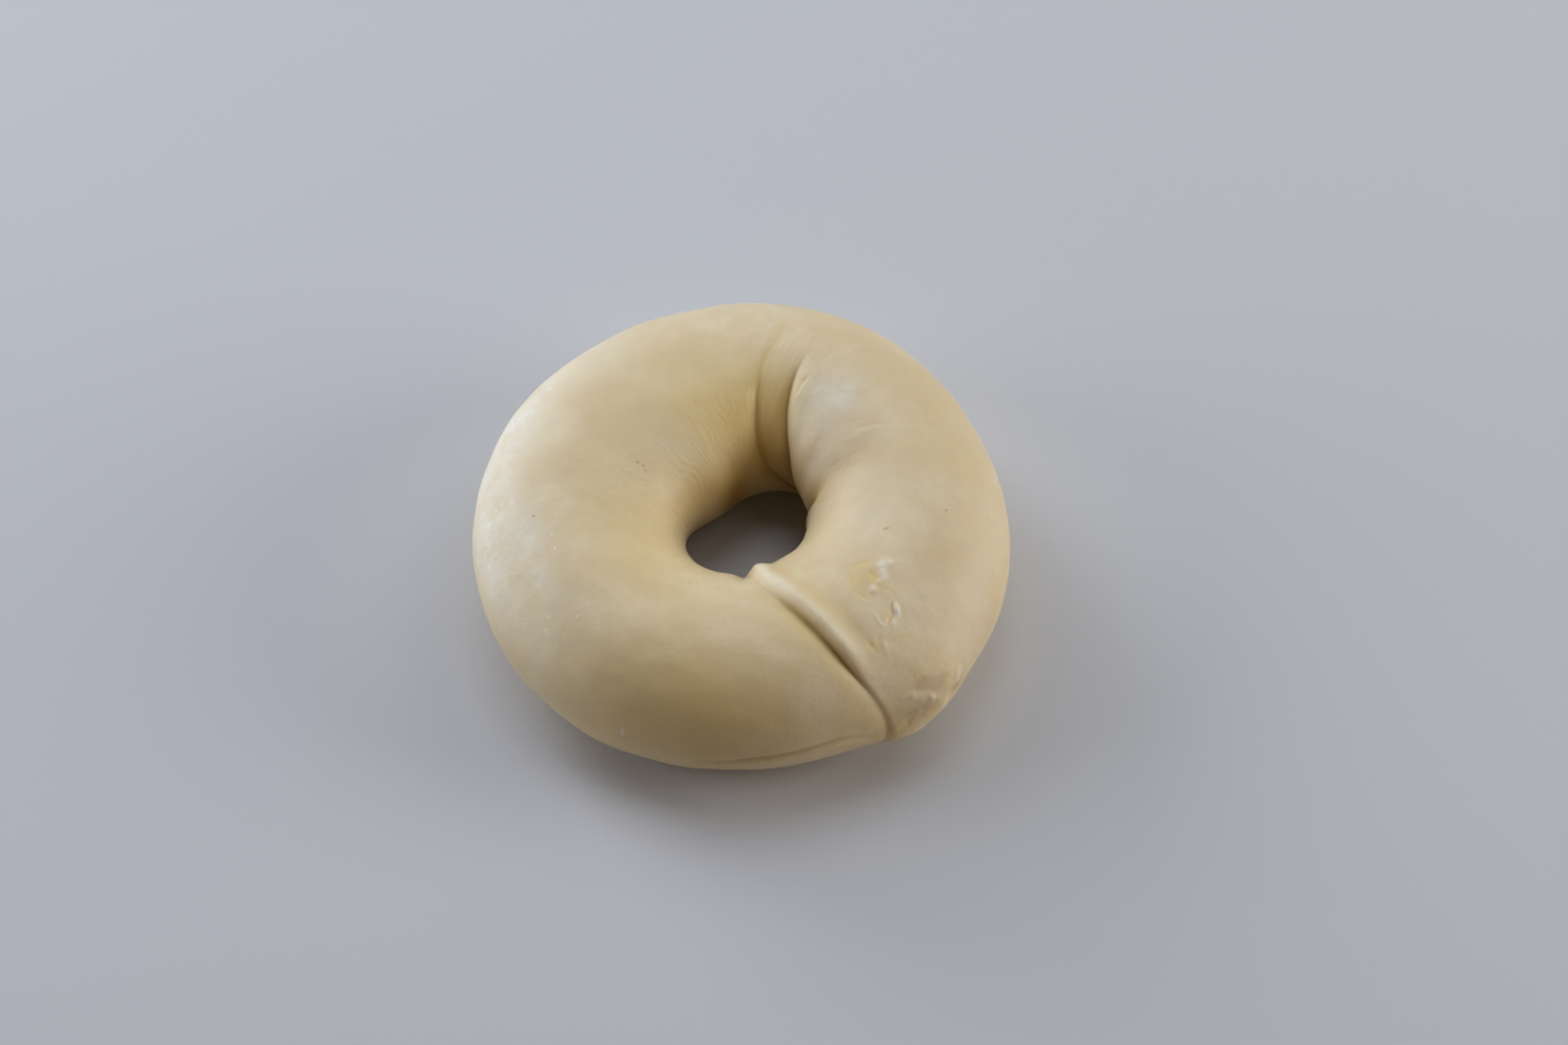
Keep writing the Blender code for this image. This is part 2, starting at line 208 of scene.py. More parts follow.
# Wrinkles run round the roll where it is stretched: (azimuth, turn, spread along, spread round, amount)
STRETCH_PATCHES = (
    (95.0, 140.0, 28.0, 50.0, 1.0),
    (140.0, 152.0, 34.0, 34.0, 0.6),
    (-135.0, 138.0, 40.0, 28.0, 0.8),
    (64.0, 92.0, 16.0, 36.0, 0.7),
    (20.0, 150.0, 14.0, 30.0, 0.7),
    (176.0, 98.0, 18.0, 42.0, 0.75),
)
WRINKLE_COUNTS = (71, 97, 131, 163)
WRINKLE_HEIGHT = 0.000014
# Their crests wander and their strength comes and goes: count, shortest and longest wavelength, size
WRINKLE_WANDER, WRINKLE_BEND = (12, 0.006, 0.030, 1.0), 2.5
WRINKLE_STRENGTH, WRINKLE_USUAL_STRENGTH = (10, 0.004, 0.015, 0.8), 0.5
WRINKLE_PHASES = 6.3
SEED = 7

# Colour patches on the skin: (azimuth, turn, spread along, spread round, amount)
# Flour patches; some of them are painted light, lightening the skin where more light falls
FLOUR_AND_LIGHT_PATCHES = (
    (178.0, 32.0, 36.0, 26.0, 1.0),
    (150.0, 42.0, 30.0, 22.0, 0.25),
    (95.0, 44.0, 45.0, 18.0, 0.12),
    (-22.0, 34.0, 24.0, 20.0, 0.25),
    (50.0, 118.0, 13.0, 28.0, 0.58),
    (-8.0, 118.0, 30.0, 26.0, 0.25),
    (-58.0, 34.0, 5.0, 14.0, 0.50),
    (-73.0, 38.0, 5.5, 16.0, 0.45),
    (-42.0, 62.0, 12.0, 16.0, 0.20),
    (148.0, 132.0, 24.0, 18.0, 0.28),
    (30.0, 146.0, 8.0, 18.0, 0.40),
    (-165.0, 62.0, 9.0, 10.0, 0.60),
    (52.0, 104.0, 14.0, 20.0, 0.30),
    (-150.0, 60.0, 8.0, 8.0, 0.45),
)
# Damp patches, in part painted warm shade: the ochre also deepens the hole's wall, the shaded front and
# the folds' hollows
DAMP_AND_WARM_SHADE_PATCHES = (
    (95.0, 130.0, 30.0, 30.0, 0.85),
    (77.0, 150.0, 8.0, 30.0, 0.50),
    (150.0, 156.0, 40.0, 26.0, 0.50),
    (118.0, 108.0, 26.0, 26.0, 0.35),
    (-104.0, 30.0, 32.0, 46.0, 0.70),
    (160.0, 104.0, 20.0, 18.0, 0.20),
    (20.0, 168.0, 6.0, 18.0, 0.90),
    (16.0, 100.0, 7.0, 30.0, 0.22),
    (-150.0, 118.0, 34.0, 30.0, 0.40),
    (-66.0, 84.0, 10.0, 14.0, 0.20),
    (-43.5, 89.0, 5.0, 9.0, 0.50),
    (-47.6, 68.5, 1.4, 5.0, 0.35),
)
# Painted shade: the hole's wall is painted darker between these turns, most at the back: (azimuth,
# spread along, amount)
WALL_DARKENS, WALL_ENDS = (130.0, 188.0), (310.0, 250.0)
WALL_PAINTED_SHADE = (
    (108.0, 32.0, 1.0),
    (-150.0, 40.0, 0.60),
    (54.0, 17.0, 0.65),
    (-30.0, 50.0, 0.35),
)
# Painted shade in patches, in hollows and folds, at the front foot and on the lapped end's tip:
# (azimuth, turn, spread along, spread round, amount)
PAINTED_SHADE_PATCHES = (
    (16.0, 174.0, 7.0, 9.0, 0.70),
    (77.0, 156.0, 7.0, 24.0, 0.12),
    (-110.0, 24.0, 30.0, 38.0, 0.20),
    (-50.0, 4.0, 10.0, 12.0, 0.18),
    (-100.0, 2.0, 34.0, 14.0, 0.12),
    (98.0, 145.0, 12.0, 14.0, 0.22),
    (-32.0, 8.0, 16.0, 16.0, 0.10),
    (100.0, 38.0, 60.0, 20.0, 0.10),
    (-43.5, 89.0, 4.5, 8.0, 0.12),
)
# A brownish smudge on the lapped end's tip, aslant, with a soft and ragged edge
SMUDGE = (
    (-48.4, 22.5, 2.6, 5.8, 1.1),
    (-45.0, 16.5, 2.4, 5.0, 1.2),
    (-51.0, 6.0, 3.0, 4.5, 0.9),
)
SMUDGE_EDGE, SMUDGE_RAGGEDNESS = (0.38, 0.75), 0.3

# The lap's looks, from this height up: a lip pale with flour and a painted highlight, a crease with
# damp, painted warm shade and painted dark shade, and a valley with damp and painted warm shade
LAP_LOOKS_FROM = 0.004
LIP_FLOUR_AND_HIGHLIGHT, LIP_FLOUR_AND_HIGHLIGHT_PLACE, LIP_FLOUR_AND_HIGHLIGHT_WIDTH = 0.60, 0.9 * LAP_LIP_WIDTH, 0.0013
CREASE_DAMP_AND_SHADE, CREASE_DAMP_AND_SHADE_LEAST, CREASE_FADES_AT_FOOT = 0.90, 0.20, 0.5
CREASE_DAMP_AND_SHADE_BEFORE, CREASE_DAMP_AND_SHADE_BEHIND = 0.0018, 0.0011
CREASE_DARK, CREASE_DARK_PLACE, CREASE_DARK_WIDTH = 0.60, 0.0001, 0.0005
VALLEY_DAMP_AND_SHADE = 0.25

# The looks of the creases at the back of the hole: (line, turns where they appear, width, and how far
# across they begin), with the turns where they end, and how dark the seam above the foot is
BACK_CREASE_LOOKS = (
    (INNER_CREASE, (60.0, 125.0), 0.0006, -1.0),
    (TUCK, TUCK_APPEARS, 0.0009, -0.0002),
)
BACK_CREASES_END = (235.0, 215.0)
# In the back creases the ochre is damp and painted warm shade, and the darkening there and in the seam
# above the foot is painted shade
BACK_CREASE_DAMP_AND_SHADE, BACK_CREASE_DARK = 0.8, 0.3
FOOT_SEAM_DARK = 0.30

# Patches and the seam above the foot count turns past this one as turns below 0
TURNS_BELOW_ZERO_FROM = 315.0

# No fold reaches the flat foot: they come in over this height
FOLDS_CLEAR_OF_FOOT = (0.0, 0.0035)

# The skin's mesh: azimuths gather near the folds, as (azimuth, spread, gain), and turns on the side
# that shows
ALONG_COUNT, ROUND_COUNT = 448, 220
GATHER_SAMPLES = 7201
GATHERS_ALONG = ((-68.0, 7.0, 2.4), (-48.0, 11.0, 2.2), (74.0, 14.0, 1.3), (24.0, 12.0, 0.4))
GATHERS_ROUND = ((72.0, 80.0, 1.8),)
FOLLOW_TURNS, FOLLOW_FADES_IN, FOLLOW_FADES_OUT = (60.0, 205.0), (0.0, 60.0), (330.0, 205.0)
FOLLOW_LEAST_RADIUS = 0.0112
STEP = 1e-4
# The UV map's size: about the ring's length and the roll's girth, in metres
SKIN_UV_SIZE = (0.171, 0.098)
# The middle of the uneven ring's box, which the CAD solid has over its origin
RING_MIDDLE = np.array([-0.00096, 0.00067, 0.0])

# The dough's own colours, from deep to light, and those laid over it, painted shade and painted light
# among them
DEEP_DOUGH, LIGHT_DOUGH = (0.758, 0.590, 0.338, 1), (0.825, 0.682, 0.448, 1)
MOTTLE_COLOUR = (0.745, 0.585, 0.340, 1)
STREAK_COLOUR = (0.660, 0.500, 0.260, 1)
GRAIN_COLOUR = (0.880, 0.795, 0.625, 1)
# Damp dough's ochre, which also serves as painted warm shade
DAMP_AND_WARM_SHADE_COLOUR = (0.835, 0.625, 0.265, 1)
# Painted shade, a deep brown
PAINTED_SHADE_COLOUR = (0.330, 0.190, 0.022, 1)
# Flour, which also serves as painted light
FLOUR_AND_LIGHT_COLOUR = (0.890, 0.822, 0.680, 1)
CAKED_FLOUR_COLOUR = (0.895, 0.850, 0.745, 1)
DRY_FLOUR_COLOUR = (0.900, 0.880, 0.830, 1)
SMUDGE_COLOUR = (0.590, 0.440, 0.250, 1)
BRAN_COLOUR = (0.20, 0.13, 0.06, 1)
CRUMB_COLOUR = (0.96, 0.94, 0.88, 1)

# The noises that they follow: (scale, detail, roughness), with the streaks drawn out round the roll
CLOUDS = (70.0, 4.0, 0.6)
MOTTLE = (260.0, 3.0, 0.6)
DIMPLES = (420.0, 4.0, 0.6)
PEBBLES = (760.0, 2.0, 0.5)
STREAKS, STREAK_STRETCH = (900.0, 3.0, 0.65), (1.0, 0.09, 1.0)
GRAIN = (1500.0, 2.0, 0.6)
FLOUR_SPECK_SCALE = 420.0

# How light plays on the dough: damp to dry roughness, sheen, light passing under the skin, and the bump
ROUGH_DAMP, ROUGH_DRY = 0.42, 0.68
SPECULAR_LEVEL = 0.40
UNDER_SKIN_WEIGHT, UNDER_SKIN_RADIUS, UNDER_SKIN_SCALE = 0.35, (1.0, 0.6, 0.25), 0.003
BUMP_DISTANCE = 0.00022
BUMP_DIMPLES, BUMP_GRAIN, BUMP_SPECKS = 0.5, 0.08, 0.10

# The plain surface under the bagel, which isn't part of it
FLOOR_HALF, FLOOR_COLOUR, FLOOR_ROUGHNESS = 1.5, (0.62, 0.615, 0.625, 1.0), 0.7
ROOM_COLOUR, ROOM_STRENGTH = (1.0, 0.8, 0.6, 1.0), 0.004

# Soft lights round and over the bagel: (name, azimuth, elevation, watts, colour)
SOFT_BOX_WIDTH = 0.55
SOFT_BOXES = (
    ("right_window", 0.0, 18.0, 4.42, (0.990, 0.997, 1.0)),
    ("right_sky", 0.0, 60.0, 0.60, (1.0, 0.94, 0.93)),
    ("back_right_sky", 45.0, 42.0, 1.36, (0.835, 0.915, 1.0)),
    ("back_left_window", 135.0, 18.0, 4.00, (0.892, 0.938, 1.0)),
    ("back_left_sky", 135.0, 45.0, 1.92, (0.760, 0.850, 1.0)),
    ("left_window", 180.0, 18.0, 3.25, (0.840, 0.888, 1.0)),
    ("ceiling", 90.0, 70.0, 1.95, (0.810, 0.880, 1.0)),
    ("front_bounce", 295.0, 25.0, 0.39, (1.0, 0.51, 0.0)),
)

# The photo's view, in degrees, metres and millimetres
CAMERA_ELEVATION, CAMERA_DISTANCE = 57.0, 0.5836
CAMERA_AIM = np.array([0.00717, 0.00198, 0.0120])
CAMERA_LENS, CAMERA_SENSOR = 80.0, 36.0


def smooth(low, high, value):
    """0 below low, 1 above high, with an S between them."""
    t = np.clip((value - low) / (high - low), 0.0, 1.0)
    return t * t * (3.0 - 2.0 * t)


def bell(distance, spread):
    """1 at no distance, falling away as a bell curve."""
    return np.exp(-((distance / spread) ** 2))


def angle_gap(angle, where):
    """How far an angle is past another, in degrees, the shorter way round."""
    return (angle - where + 180.0) % 360.0 - 180.0


def waves(azimuth, table):
    """The sum of size * cos(count * (azimuth - peak)) over the table's waves."""
    rows = table.items()
    return sum(size * np.cos(count * np.radians(azimuth - peak)) for count, (size, peak) in rows)


def plain_roll(azimuth, turn):
    """An ellipse of the roll's width and height, carried round the ring and pressed flat at z = 0."""
    about = np.radians(turn)
    radius = MIDDLE_RADIUS + waves(azimuth, RADIUS_WAVES)
    radius = radius + (ROLL_HALF_WIDTH + waves(azimuth, WIDTH_WAVES)) * np.cos(about)
    rise = np.where(np.sin(about) > 0, CROWN_RISE, BELLY_DROP)
    height = WIDEST_HEIGHT + rise * np.sin(about)
    blend = (height + FOOT_ROUNDING) ** 2 / (4 * FOOT_ROUNDING)
    height = np.where(height > FOOT_ROUNDING, height, np.where(height < -FOOT_ROUNDING, 0.0, blend))
    angle = np.radians(azimuth)
    return np.stack([radius * np.cos(angle), radius * np.sin(angle), height], axis=-1)


def unit(vectors):
    """The same directions at length 1."""
    return vectors / np.linalg.norm(vectors, axis=-1, keepdims=True)


def roll_frame(azimuth, turn):
    """The plain roll's points, outward normals and ways along the ring, by small steps each way."""
    along = plain_roll(azimuth + STEP, turn) - plain_roll(azimuth - STEP, turn)
    around = plain_roll(azimuth, turn + STEP) - plain_roll(azimuth, turn - STEP)
    return plain_roll(azimuth, turn), unit(np.cross(along, around)), unit(along)


def lap_offset(run):
    """How far the lap line lies behind the ring's middle: a fourth-power bow, flat along most of it."""
    return LAP_OFFSET + LAP_BOW * (1.0 - np.clip(np.abs(run - LAP_MIDDLE) / LAP_HALF, 0.0, 1.1) ** 4)


def lap_place(points):
    """Run and share along the lap line, and distance across it, positive on the lapped end."""
    run = points @ LAP_ONWARD
    share = 0.5 + (run - LAP_MIDDLE) / (2 * LAP_HALF)
    across = points @ LAP_TOWARDS + lap_offset(run) - LAP_FOOT_SHIFT * smooth(*LAP_SHIFTS, share)
    return run, share, across


def lip_profile(across, lip_width, lip_fall, lip_height, depth, width, roundness):
    """Height across a fold.

    A dip that fades before it, then sin(quarter turn * share) ** roundness up to the crest, then a bell
    curve down.
    """
    dip = -depth * np.exp(-np.abs(across) / width - (across / (2 * width)) ** 2)
    share = np.clip(across / lip_width, 0.0, 1.0)
    face = (depth + lip_height) * np.sin(np.pi / 2 * share) ** roundness - depth
    fall = lip_height * bell(np.maximum(across - lip_width, 0.0), lip_fall)
    return np.where(across < 0, dip, np.where(share < 1, face, fall))


def lip_lean(across, lip_width):
    """How far the lip's face swells out over the crease, 0 at the crease and at the crest."""
    return np.sin(np.pi * np.clip(across / lip_width, 0.0, 1.0))


def lap(points, normals):
    """The lapped end's rounded lip, the crease before it and the soft valley behind it."""
    run, share, across = lap_place(points)
    there = smooth(*LAP_APPEARS, run)
    ending = smooth(*LAP_LIP_DIES_OUT, share)
    lip_width = LAP_LIP_WIDTH * (1.0 - (1.0 - LAP_WIDTH_AT_FOOT) * smooth(*LAP_LIP_NARROWS, share))
    rising = LAP_HEIGHT_AT_HOLE + (1.0 - LAP_HEIGHT_AT_HOLE) * smooth(*LAP_LIP_RISES, share)
    lip_height = LAP_LIP_HEIGHT * rising * (1.0 - ending)
    deep = LAP_DEPTH_AT_HOLE + (1.0 - LAP_DEPTH_AT_HOLE) * smooth(*LAP_DEEPENS, share)
    deep = deep * (1.0 - (1.0 - LAP_DEPTH_AT_FOOT) * smooth(*LAP_SHALLOWS, share))
    crease = (LAP_CREASE_DEPTH * deep, LAP_CREASE_WIDTH)
    lift = lip_profile(across, lip_width, LAP_LIP_FALL, lip_height, *crease, LAP_LIP_ROUNDNESS)
    lift = lift - LAP_VALLEY_DEPTH * (1.0 - ending) * bell(across - LAP_VALLEY_PLACE, LAP_VALLEY_WIDTH)
    step = LAP_STEP * (1.0 - ending) * smooth(0.0, LAP_LIP_WIDTH, across) * bell(across, LAP_STEP_REACH)
    lean_way = unit(LAP_TOWARDS - (normals @ LAP_TOWARDS)[..., None] * normals)
    lean = -LAP_LIP_LEAN * (1.0 - ending) * lip_lean(across, lip_width)
    return (there * (lift + step))[..., None] * normals + (there * lean)[..., None] * lean_way


def bowed(turn, line):
    """The azimuth of a crease that bows round the roll, at each turn."""
    top, at_turn, bend = line
    return top - ((turn - at_turn) / bend) ** 2


def reach_of(points):
    """Metres for each degree of azimuth, at each point's distance from the ring's middle."""
    return np.radians(1.0) * np.linalg.norm(points[..., :2], axis=-1)


def back_folds(azimuth, turn, points, normals, along):
    """The crease and the tucked fold that run over the crown and down the hole's back wall."""
    across = (azimuth - bowed(turn, INNER_CREASE)) * reach_of(points)
    there = smooth(*INNER_CREASE_APPEARS, turn) * smooth(*FOLDS_DIE_OUT, turn)
    deep = INNER_CREASE_AT_CROWN + (1.0 - INNER_CREASE_AT_CROWN) * smooth(*INNER_CREASE_DEEPENS, turn)
    lift = -INNER_CREASE_DEPTH * deep * there * np.exp(-np.abs(across) / INNER_CREASE_WIDTH)
    across = (bowed(turn, TUCK) - azimuth) * reach_of(points)
    there = smooth(*TUCK_APPEARS, turn) * smooth(*FOLDS_DIE_OUT, turn)
    lip = (TUCK_LIP_WIDTH, TUCK_LIP_FALL, TUCK_LIP_HEIGHT)
    tuck = lip_profile(across, *lip, TUCK_DEPTH, TUCK_WIDTH, TUCK_LIP_ROUNDNESS)
    lift = lift + there * (tuck - BAND_SINK * bell(across + BAND_WIDTH, BAND_WIDTH))
    lean = there * TUCK_LEAN * lip_lean(across, TUCK_LIP_WIDTH)
    return lift[..., None] * normals + lean[..., None] * along


def foot_seam(azimuth, signed_turn):
    """Distance above the seam's line, which rises straight, then dips as a square, and its strength."""
    along = azimuth - FOOT_SEAM_AZIMUTH
    dip = FOOT_SEAM_DIP * np.maximum(along - FOOT_SEAM_DIPS_FROM, 0.0) ** 2
    line = FOOT_SEAM_TURN + FOOT_SEAM_RISE * along - dip
    there = smooth(*FOOT_SEAM_BEGINS, azimuth) * smooth(*FOOT_SEAM_ENDS, azimuth)
    return (signed_turn - line) * np.radians(1.0) * ROLL_HALF_WIDTH, there


def lumps(azimuth, turn, points):
    """Bell curves for the lumps, fold, lapped end's corner and notch, and the seam and its ledge."""
    lift = 0.0
    for where, at_turn, height, along, around in LUMPS:
        lift = lift + height * bell(azimuth - where, along) * bell(turn - at_turn, around)
    reach = reach_of(points)
    fold = FOLD_AZIMUTH + FOLD_SLANT * (turn - FOLD_TURN)
    deep = smooth(*FOLD_APPEARS, turn) * smooth(*FOLD_DIES_OUT, turn)
    lift = lift - FOLD_DEPTH * deep * bell((azimuth - fold) * reach, FOLD_WIDTH)
    signed_turn = angle_gap(turn, 0.0)
    roll = np.radians(1.0) * ROLL_HALF_WIDTH
    end = np.hypot((azimuth - END_AZIMUTH) * reach, (signed_turn - END_TURN) * roll)
    notch = np.hypot((azimuth - NOTCH_AZIMUTH) * reach, (signed_turn - NOTCH_TURN) * roll)
    lift = lift + END_SWELL * bell(end, END_SPREAD) - NOTCH_DEPTH * bell(notch, NOTCH_SPREAD)
    seam, there = foot_seam(azimuth, signed_turn)
    groove = -FOOT_SEAM_DEPTH * bell(seam, FOOT_SEAM_WIDTH)
    ledge = FOOT_LEDGE_SHARE * FOOT_SEAM_DEPTH * bell(seam + FOOT_LEDGE_BELOW, FOOT_LEDGE_WIDTH)
    return lift + there * (groove + ledge)


def dough(azimuth, turn):
    """The whole surface: the plain roll, moved along its normals by the folds and lumps."""
    points, normals, along = roll_frame(azimuth, turn)
    moved = lap(points, normals) + back_folds(azimuth, turn, points, normals, along)
    moved = moved + lumps(azimuth, turn, points)[..., None] * normals
    clear_of_foot = smooth(*FOLDS_CLEAR_OF_FOOT, points[..., 2])[..., None]
    return points + clear_of_foot * moved


def mark_line(places):
    """Points along a mark: a quadratic curve through its three places, laid on the dough."""
    share = np.linspace(0.0, 1.0, MARK_STEPS + 1)[:, None]
    first, middle, last = (np.array(place) for place in places)
    bend = 2.0 * middle - 0.5 * (first + last)
    line = (1 - share) ** 2 * first + 2 * share * (1 - share) * bend + share**2 * last
    return dough(line[:, 0], line[:, 1] % 360.0)


def beside(points, normals, line):
    """Share along a line of short steps, and the distance to the left of it, for the points near it."""
    best = np.full(points.shape[:-1], MARK_REACH)
    share, side = np.zeros_like(best), np.full_like(best, MARK_REACH)
    for step in range(len(line) - 1):
        way = line[step + 1] - line[step]
        offset = points - line[step]
        t = np.clip(offset @ way / (way @ way), 0.0, 1.0)
        gap = offset - t[..., None] * way
        distance = np.linalg.norm(gap, axis=-1)
        left = np.sign(np.einsum("...k,...k->...", np.cross(normals, way), gap))
        nearer = distance < best
        best = np.where(nearer, distance, best)
        share = np.where(nearer, (step + t) / (len(line) - 1), share)
        side = np.where(nearer, left * distance, side)
    return share, side


def ripples(points, rng, count, shortest, longest, height):
    """A sum of plane waves in random directions, with wavelengths between the two."""
    ways = unit(rng.normal(size=(count, 3)))
    lengths = shortest * (longest / shortest) ** rng.random(count)
    phases = rng.random(count) * 2 * np.pi
    rows = zip(ways, lengths, phases)
    total = sum(np.sin(2 * np.pi / length * (points @ way) + phase) for way, length, phase in rows)
    return height * total * np.sqrt(2.0 / count)


def wrinkles(azimuth, stretch, points, rng):
    """Waves in azimuth whose crests wander with place and come and go, in the stretched places only."""
    wander = WRINKLE_BEND * ripples(points, rng, *WRINKLE_WANDER)
    total = 0.0
    for count in WRINKLE_COUNTS:
        strength = WRINKLE_USUAL_STRENGTH + ripples(points, rng, *WRINKLE_STRENGTH)
        phase = rng.random() * WRINKLE_PHASES
        wave = np.sin(count * np.radians(azimuth) + phase + wander)
        total = total + np.clip(strength, 0.0, None) * wave
    return WRINKLE_HEIGHT * stretch * total


def grid_normals(points):
    """Outward normals of a closed grid, from the differences of its neighbours."""
    along = np.roll(points, -1, axis=0) - np.roll(points, 1, axis=0)
    around = np.roll(points, -1, axis=1) - np.roll(points, 1, axis=1)
    return unit(np.cross(along, around))


def laid_marks(points, rng):
    """For each mark: which points are near it, its taper and strength, and the distance beside it."""
    normals = grid_normals(points)
    wander = ripples(points, rng, *MARK_WANDER)
    strength = MARK_USUAL_STRENGTH + ripples(points, rng, *MARK_STRENGTH)
    strength = np.clip(strength, *MARK_STRENGTH_LIMITS)
    laid = []
    for places, *sizes in SCUFFS + CREASES + FLAP_MARKS:
        line = mark_line(places)
        low, high = line.min(axis=0) - MARK_REACH, line.max(axis=0) + MARK_REACH
        near = np.all((points > low) & (points < high), axis=-1)
        share, side = beside(points[near], normals[near], line)
        tapered = smooth(0.0, MARK_TAPERS, share) * smooth(1.0, 1.0 - MARK_TAPERS, share)
        laid.append((near, tapered, strength[near] * tapered, side + wander[near], sizes))
    return laid


def marks(laid, shape):
    """Grooves and raised edges, narrow at the ends: -depth * bell(side) + edge * bell(side - place)."""
    lift, groove_damp_and_shade, edge_pale = np.zeros(shape), np.zeros(shape), np.zeros(shape)
    for near, tapered, strength, side, (depth, width, edge, edge_place, damp_and_warm_shade, pale) in laid:
        width = (MARK_WIDTH_AT_END + (1.0 - MARK_WIDTH_AT_END) * tapered) * width / 1000
        groove = bell(side, width)
        rim = bell(side - edge_place / 1000, MARK_EDGE_SPREAD * width)
        lift[near] += strength * (edge * rim - depth * groove) / 1000
        # The groove's ochre is partly painted shade, and the edge's paleness partly a painted highlight
        groove_damp_and_shade[near] += strength * damp_and_warm_shade * bell(side, MARK_DAMP_AND_SHADE_SPREAD * width)
        edge_pale[near] += strength * pale * rim
    return lift, groove_damp_and_shade, edge_pale


def patches(azimuth, turn, table):
    """The sum of amount * bell * bell over the table's patches."""
    total = 0.0
    for where, at_turn, along, around, amount in table:
        near = bell(angle_gap(azimuth, where), along)
        total = total + amount * near * bell(turn - at_turn, around)
    return total


def lap_colour(points):
    """How pale the lip's crest is, with flour and a painted highlight, how damp the crease and the
    valley are, with painted warm shade, and how dark the crease is, as painted shade.
    """
    run, share, across = lap_place(points)
    there = smooth(*LAP_APPEARS, run) * (points[..., 2] > LAP_LOOKS_FROM)
    lasting = 1.0 - smooth(*LAP_LIP_DIES_OUT, share)
    lip = bell(across - LIP_FLOUR_AND_HIGHLIGHT_PLACE, LIP_FLOUR_AND_HIGHLIGHT_WIDTH) * lasting
    deep = smooth(*LAP_DEEPENS, share) * (1.0 - CREASE_FADES_AT_FOOT * smooth(*LAP_SHALLOWS, share))
    width = np.where(across < 0, CREASE_DAMP_AND_SHADE_BEFORE, CREASE_DAMP_AND_SHADE_BEHIND)
    crease = CREASE_DAMP_AND_SHADE_LEAST + (1.0 - CREASE_DAMP_AND_SHADE_LEAST) * deep
    crease = crease * np.exp(-np.abs(across) / width)
    valley = lasting * bell(across - LAP_VALLEY_PLACE, LAP_VALLEY_WIDTH)
    dark = there * deep * bell(across - CREASE_DARK_PLACE, CREASE_DARK_WIDTH)
    damp_and_warm_shade = there * (CREASE_DAMP_AND_SHADE * crease + VALLEY_DAMP_AND_SHADE * valley)
    return LIP_FLOUR_AND_HIGHLIGHT * (there * lip), damp_and_warm_shade, CREASE_DARK * dark


def dress(azimuth, turn):
    """The dough's points with their fine relief, and for each point its flour with painted light, its
    damp with painted warm shade, its painted shade and so on.
    """
    rng = np.random.default_rng(SEED)
    points = dough(azimuth, turn)
    seen_turn = np.where(turn > TURNS_BELOW_ZERO_FROM, turn - 360.0, turn)
    stretch = np.clip(patches(azimuth, seen_turn, STRETCH_PATCHES), 0.0, 1.0)
    mark_lift, groove_damp_and_shade, edge_pale = marks(laid_marks(points, rng), points.shape[:-1])
    lift = mark_lift + wrinkles(azimuth, stretch, points, rng)
    lift = lift + sum(ripples(points, rng, *row) for row in SKIN_RIPPLES)
    lift = lift * smooth(*FOLDS_CLEAR_OF_FOOT, points[..., 2])

    lip, crease, dark = lap_colour(points)
    # Flour with painted light, and damp with painted warm shade
    flour_and_painted_light = patches(azimuth, seen_turn, FLOUR_AND_LIGHT_PATCHES) + lip + edge_pale
    damp_and_warm_shade = patches(azimuth, seen_turn, DAMP_AND_WARM_SHADE_PATCHES) + crease + groove_damp_and_shade
    # Painted shade on the hole's wall, in patches, in the creases and in the seam above the foot
    wall = sum(amount * bell(angle_gap(azimuth, where), spread) for where, spread, amount in WALL_PAINTED_SHADE)
    wall = wall * smooth(*WALL_DARKENS, turn) * smooth(*WALL_ENDS, turn)
    painted_shade = wall + patches(azimuth, seen_turn, PAINTED_SHADE_PATCHES) + dark
    seam, seam_there = foot_seam(azimuth, seen_turn)
    painted_shade = painted_shade + FOOT_SEAM_DARK * seam_there * bell(seam, FOOT_SEAM_WIDTH)
    reach = reach_of(points)
    for line, appears, width, begins in BACK_CREASE_LOOKS:
        across = (azimuth - bowed(turn, line)) * reach
        there = smooth(*appears, turn) * smooth(*BACK_CREASES_END, turn) * (across > begins)
        there = there * np.exp(-np.abs(across) / width)
        damp_and_warm_shade = damp_and_warm_shade + BACK_CREASE_DAMP_AND_SHADE * there
        painted_shade = painted_shade + BACK_CREASE_DARK * there
    looks = {"flour_and_painted_light": flour_and_painted_light, "damp_and_warm_shade": damp_and_warm_shade, "painted_shade": painted_shade, "stretch": stretch}
    ragged = SMUDGE_RAGGEDNESS * ripples(points, rng, *MARK_STRENGTH)
    looks["smudge"] = smooth(*SMUDGE_EDGE, patches(azimuth, seen_turn, SMUDGE) + ragged)
    return points + lift[..., None] * grid_normals(points), looks


def gathered(count, start, gathers):
    """Angles once round from the start, closer together near the gathers: equal shares of a density."""
    fine = np.linspace(start, start + 360.0, GATHER_SAMPLES)
    density = 1.0 + sum(gain * bell(angle_gap(fine, where), spread) for where, spread, gain in gathers)
    share = np.concatenate([[0.0], np.cumsum(density[1:] + density[:-1])])
    return np.interp(np.arange(count) / count, share / share[-1], fine)


def lap_azimuth(radius):
    """The azimuth where the lap line crosses a circle of this radius."""
    run = np.sqrt(radius**2 - LAP_OFFSET**2)
    return LAP_FACING - np.degrees(np.arccos(-lap_offset(run) / radius))


def nearness(azimuth, middle, before, after):
    """1 at the middle azimuth, falling as a squared cosine to 0 that far before and after it."""
    gap = angle_gap(azimuth, middle)
    return np.cos(np.pi / 2 * np.clip(np.where(gap < 0, gap / before, gap / after), -1, 1)) ** 2


